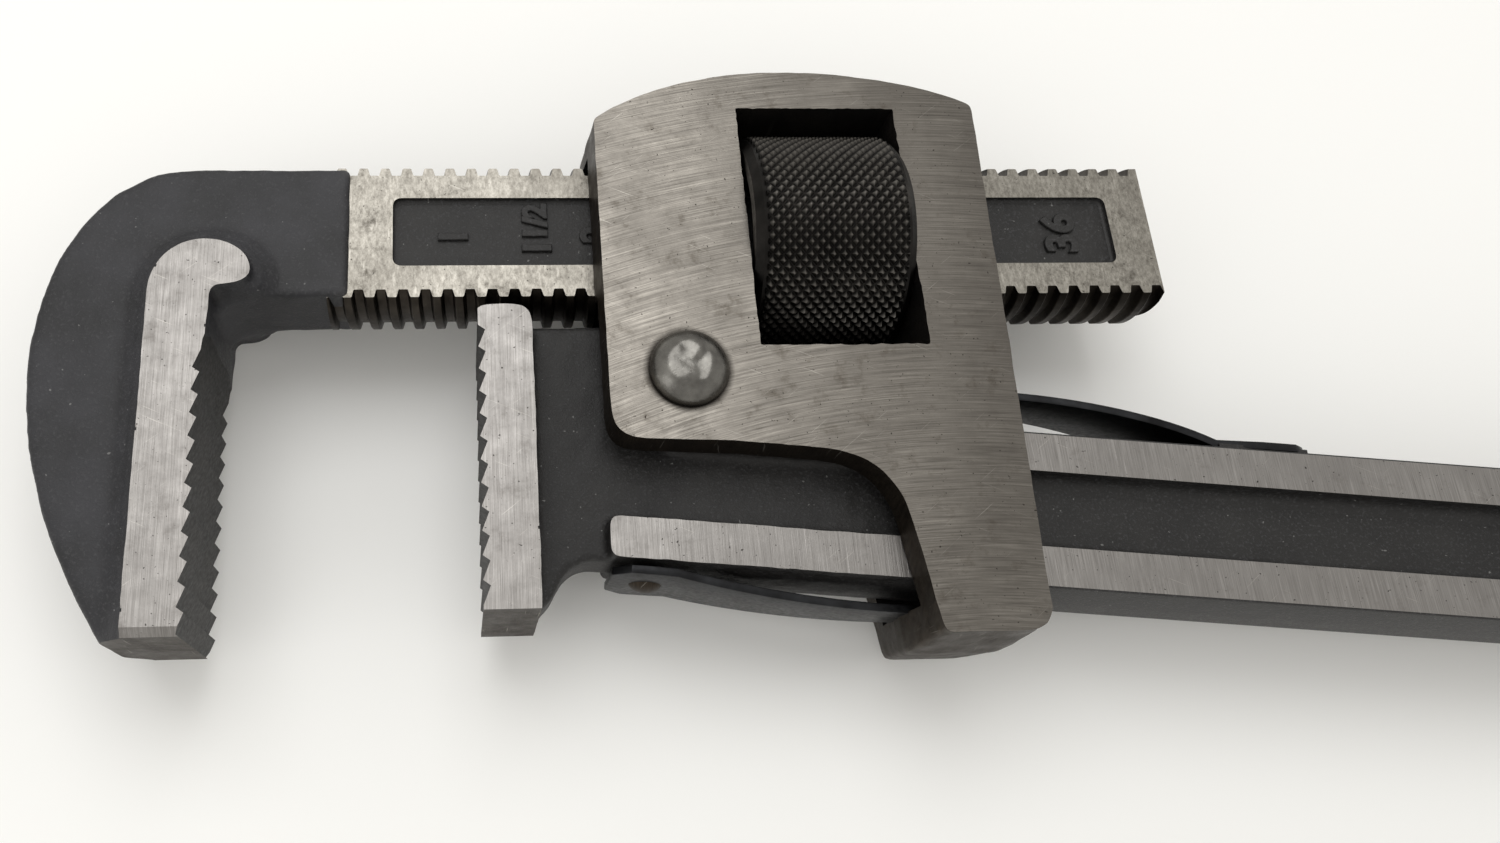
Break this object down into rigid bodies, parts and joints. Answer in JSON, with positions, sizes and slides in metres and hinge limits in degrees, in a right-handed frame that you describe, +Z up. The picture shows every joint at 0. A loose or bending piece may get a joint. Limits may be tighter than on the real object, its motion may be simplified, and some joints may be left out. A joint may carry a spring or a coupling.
{
  "type": "pipe wrench",
  "caption": "Heavy Stillson pattern pipe wrench with a toothed hook jaw, a knurled nut in a pivoting frame and a long I-section handle with the heel jaw on its end.",
  "frame": {"origin": "middle of the base of the wrench's box as it lies flat, level with the adjusting nut's lowest line", "axes": "+X along the hook jaw's shank towards the handle's end, +Y from the jaws' noses towards the shank, +Z up off the table, square to the frame's ground face"},
  "size_m": [0.9002, 0.169, 0.042],
  "materials": {
    "handle": "black forged steel, with rails and jaw pad ground bright",
    "hook_jaw": "black forged steel, with shank faces and jaw pad ground bright",
    "frame": "coarse ground steel",
    "frame_pin": "dark steel, hammered round head",
    "adjusting_nut": "blackened steel, diamond knurl",
    "lower_leaf_spring": "blackened spring steel",
    "upper_leaf_spring": "blackened spring steel",
    "lower_spring_rivet": "dark steel rivet",
    "upper_spring_rivet": "dark steel rivet"
  },
  "bodies": {
    "handle_body": {"handle": "handle", "lower_leaf_spring": "lower_leaf_spring", "upper_leaf_spring": "upper_leaf_spring", "lower_spring_rivet": "lower_spring_rivet", "upper_spring_rivet": "upper_spring_rivet"},
    "frame_body": {"frame": "frame", "frame_pin": "frame_pin"},
    "hook_body": {"hook_jaw": "hook_jaw"},
    "nut_body": {"adjusting_nut": "adjusting_nut"}
  },
  "joints": [
    {"name": "frame_pivot", "type": "hinge", "parent": "handle_body", "child": "frame_body", "pos_m": [-0.3359, 0.02355, 0.021], "axis": [0, 0, 1], "range_deg": [-2.5, 1.8], "stiffness_Nm_per_rad": 60, "deforming": ["lower_leaf_spring", "upper_leaf_spring"]},
    {"name": "jaw_slide", "type": "slide", "parent": "frame_body", "child": "hook_body", "axis": [1, 0, 0], "range_m": [-0.05, 0.0435]},
    {"name": "nut_spin", "type": "hinge", "parent": "frame_body", "child": "nut_body", "pos_m": [-0.3078, 0.05485, 0.021], "axis": [1, 0, 0], "range_deg": [-3886.2, 4465.4]}
  ],
  "couplings": [
    {"joint": "nut_spin", "follows": "jaw_slide", "rad_per_m": -1555.2}
  ]
}
